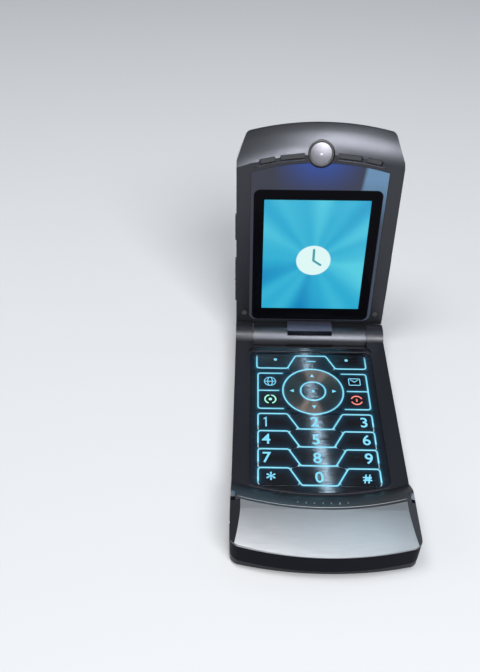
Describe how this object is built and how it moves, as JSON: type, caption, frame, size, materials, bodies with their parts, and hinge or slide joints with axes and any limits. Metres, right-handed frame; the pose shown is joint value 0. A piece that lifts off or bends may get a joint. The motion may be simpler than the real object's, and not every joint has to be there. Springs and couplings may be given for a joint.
{
  "type": "clamshell mobile phone",
  "caption": "Thin clamshell mobile phone standing open, with a hinged lid, a lit display, a flat etched keypad that glows and a raised chin.",
  "frame": {"origin": "centre of the back face of the base, on the plane that the base lies on", "axes": "+X to the phone's right, +Y from the chin to the hinge, +Z out of the keypad"},
  "size_m": [0.0539, 0.108, 0.083],
  "materials": {
    "gunmetal": "satin charcoal paint on magnesium",
    "bright_band": "bright brushed band",
    "back_plastic": "soft dark plastic",
    "dark_plastic": "black moulded plastic",
    "satin_silver": "satin brushed silver",
    "key_metal": "etched dark nickel",
    "ring_metal": "etched dark nickel",
    "light_film": "clear light guide",
    "dome_film": "clear film",
    "board": "lacquered circuit board",
    "tin": "tinned sheet",
    "bright_metal": "polished",
    "steel": "ground steel",
    "back_metal": "satin dark silver paint",
    "battery_case": "plain light case",
    "rubber_ring": "soft elastomer",
    "smoked_glass": "smoked clear plastic",
    "display": "lit colour display",
    "lens": "black lens",
    "side_key": "satin metal"
  },
  "bodies": {
    "root": {"front_housing": "gunmetal", "side_bands": "bright_band", "rear_housing": "back_plastic", "chin_frame": "dark_plastic", "chin_cover": "satin_silver", "keypad_panel": "key_metal", "light_sheet": "light_film", "dome_sheet": "dome_film", "main_board": "board", "shield_cans": "tin", "usb_port": "tin", "usb_trim": "bright_band", "antenna": "dome_film", "loudspeaker": "dark_plastic", "microphone": "tin", "sim_holder": "tin", "hinge_cap_left": "bright_metal", "hinge_cap_right": "bright_metal", "hinge_pins": "steel"},
    "lid": {"lid_frame": "gunmetal", "lid_shell": "satin_silver", "hinge_tongue": "gunmetal", "hinge_cartridge": "steel", "display_window": "smoked_glass", "main_display": "display", "badge": "bright_metal", "earpiece": "dark_plastic", "lid_board": "board", "vibrator": "steel", "outer_window": "smoked_glass", "outer_display": "display", "camera": "lens"},
    "key_select": {"key_select": "key_metal"},
    "key_soft_left": {"key_soft_left": "key_metal"},
    "key_menu": {"key_menu": "key_metal"},
    "key_soft_right": {"key_soft_right": "key_metal"},
    "key_browser": {"key_browser": "key_metal"},
    "key_message": {"key_message": "key_metal"},
    "key_send": {"key_send": "key_metal"},
    "key_end": {"key_end": "key_metal"},
    "key_1": {"key_1": "key_metal"},
    "key_2": {"key_2": "key_metal"},
    "key_3": {"key_3": "key_metal"},
    "key_4": {"key_4": "key_metal"},
    "key_5": {"key_5": "key_metal"},
    "key_6": {"key_6": "key_metal"},
    "key_7": {"key_7": "key_metal"},
    "key_8": {"key_8": "key_metal"},
    "key_9": {"key_9": "key_metal"},
    "key_star": {"key_star": "key_metal"},
    "key_0": {"key_0": "key_metal"},
    "key_hash": {"key_hash": "key_metal"},
    "nav_gimbal": {"nav_gimbal": "rubber_ring"},
    "nav_ring": {"nav_ring": "ring_metal"},
    "volume_rocker": {"volume_rocker": "side_key"},
    "smart_key": {"smart_key": "side_key"},
    "voice_key": {"voice_key": "side_key"},
    "battery_door": {"battery_door": "back_metal"},
    "battery": {"battery": "battery_case"},
    "door_latch": {"door_latch": "dark_plastic"}
  },
  "joints": [
    {"name": "lid_hinge", "type": "hinge", "parent": "root", "child": "lid", "pos_m": [0, 0.0437, 0.0054], "axis": [-1, 0, 0], "range_deg": [-95, 65]},
    {"name": "key_select_press", "type": "slide", "parent": "root", "child": "key_select", "axis": [0, 0, -1], "range_m": [0, 0.00025], "stiffness_N_per_m": 400},
    {"name": "key_soft_left_press", "type": "slide", "parent": "root", "child": "key_soft_left", "axis": [0, 0, -1], "range_m": [0, 0.00025], "stiffness_N_per_m": 400},
    {"name": "key_menu_press", "type": "slide", "parent": "root", "child": "key_menu", "axis": [0, 0, -1], "range_m": [0, 0.00025], "stiffness_N_per_m": 400},
    {"name": "key_soft_right_press", "type": "slide", "parent": "root", "child": "key_soft_right", "axis": [0, 0, -1], "range_m": [0, 0.00025], "stiffness_N_per_m": 400},
    {"name": "key_browser_press", "type": "slide", "parent": "root", "child": "key_browser", "axis": [0, 0, -1], "range_m": [0, 0.00025], "stiffness_N_per_m": 400},
    {"name": "key_message_press", "type": "slide", "parent": "root", "child": "key_message", "axis": [0, 0, -1], "range_m": [0, 0.00025], "stiffness_N_per_m": 400},
    {"name": "key_send_press", "type": "slide", "parent": "root", "child": "key_send", "axis": [0, 0, -1], "range_m": [0, 0.00025], "stiffness_N_per_m": 400},
    {"name": "key_end_press", "type": "slide", "parent": "root", "child": "key_end", "axis": [0, 0, -1], "range_m": [0, 0.00025], "stiffness_N_per_m": 400},
    {"name": "key_1_press", "type": "slide", "parent": "root", "child": "key_1", "axis": [0, 0, -1], "range_m": [0, 0.00025], "stiffness_N_per_m": 400},
    {"name": "key_2_press", "type": "slide", "parent": "root", "child": "key_2", "axis": [0, 0, -1], "range_m": [0, 0.00025], "stiffness_N_per_m": 400},
    {"name": "key_3_press", "type": "slide", "parent": "root", "child": "key_3", "axis": [0, 0, -1], "range_m": [0, 0.00025], "stiffness_N_per_m": 400},
    {"name": "key_4_press", "type": "slide", "parent": "root", "child": "key_4", "axis": [0, 0, -1], "range_m": [0, 0.00025], "stiffness_N_per_m": 400},
    {"name": "key_5_press", "type": "slide", "parent": "root", "child": "key_5", "axis": [0, 0, -1], "range_m": [0, 0.00025], "stiffness_N_per_m": 400},
    {"name": "key_6_press", "type": "slide", "parent": "root", "child": "key_6", "axis": [0, 0, -1], "range_m": [0, 0.00025], "stiffness_N_per_m": 400},
    {"name": "key_7_press", "type": "slide", "parent": "root", "child": "key_7", "axis": [0, 0, -1], "range_m": [0, 0.00025], "stiffness_N_per_m": 400},
    {"name": "key_8_press", "type": "slide", "parent": "root", "child": "key_8", "axis": [0, 0, -1], "range_m": [0, 0.00025], "stiffness_N_per_m": 400},
    {"name": "key_9_press", "type": "slide", "parent": "root", "child": "key_9", "axis": [0, 0, -1], "range_m": [0, 0.00025], "stiffness_N_per_m": 400},
    {"name": "key_star_press", "type": "slide", "parent": "root", "child": "key_star", "axis": [0, 0, -1], "range_m": [0, 0.00025], "stiffness_N_per_m": 400},
    {"name": "key_0_press", "type": "slide", "parent": "root", "child": "key_0", "axis": [0, 0, -1], "range_m": [0, 0.00025], "stiffness_N_per_m": 400},
    {"name": "key_hash_press", "type": "slide", "parent": "root", "child": "key_hash", "axis": [0, 0, -1], "range_m": [0, 0.00025], "stiffness_N_per_m": 400},
    {"name": "nav_tilt_x", "type": "hinge", "parent": "root", "child": "nav_gimbal", "pos_m": [0, 0.0153, 0.007], "axis": [1, 0, 0], "range_deg": [-1.6, 1.6], "stiffness_Nm_per_rad": 0.05},
    {"name": "nav_tilt_y", "type": "hinge", "parent": "nav_gimbal", "child": "nav_ring", "pos_m": [0, 0.0153, 0.007], "axis": [0, 1, 0], "range_deg": [-1.6, 1.6], "stiffness_Nm_per_rad": 0.05},
    {"name": "volume_rock", "type": "hinge", "parent": "lid", "child": "volume_rocker", "pos_m": [-0.0252, 0.0509, 0.02685], "axis": [0, 0.9962, -0.0872], "range_deg": [-1.6, 1.6], "stiffness_Nm_per_rad": 0.05},
    {"name": "smart_press", "type": "slide", "parent": "lid", "child": "smart_key", "axis": [1, 0, 0], "range_m": [0, 0.0003], "stiffness_N_per_m": 400},
    {"name": "voice_press", "type": "slide", "parent": "lid", "child": "voice_key", "axis": [-1, 0, 0], "range_m": [0, 0.0003], "stiffness_N_per_m": 400},
    {"name": "door_lift", "type": "slide", "parent": "root", "child": "battery_door", "axis": [0, 0, -1], "range_m": [0, 0.016]},
    {"name": "battery_lift", "type": "slide", "parent": "root", "child": "battery", "axis": [0, 0, -1], "range_m": [0, 0.008]},
    {"name": "latch_slide", "type": "slide", "parent": "root", "child": "door_latch", "axis": [0, -1, 0], "range_m": [0, 0.0008], "stiffness_N_per_m": 400}
  ],
  "couplings": [
    {"joint": "battery_lift", "follows": "door_lift", "ratio": 0.5}
  ]
}
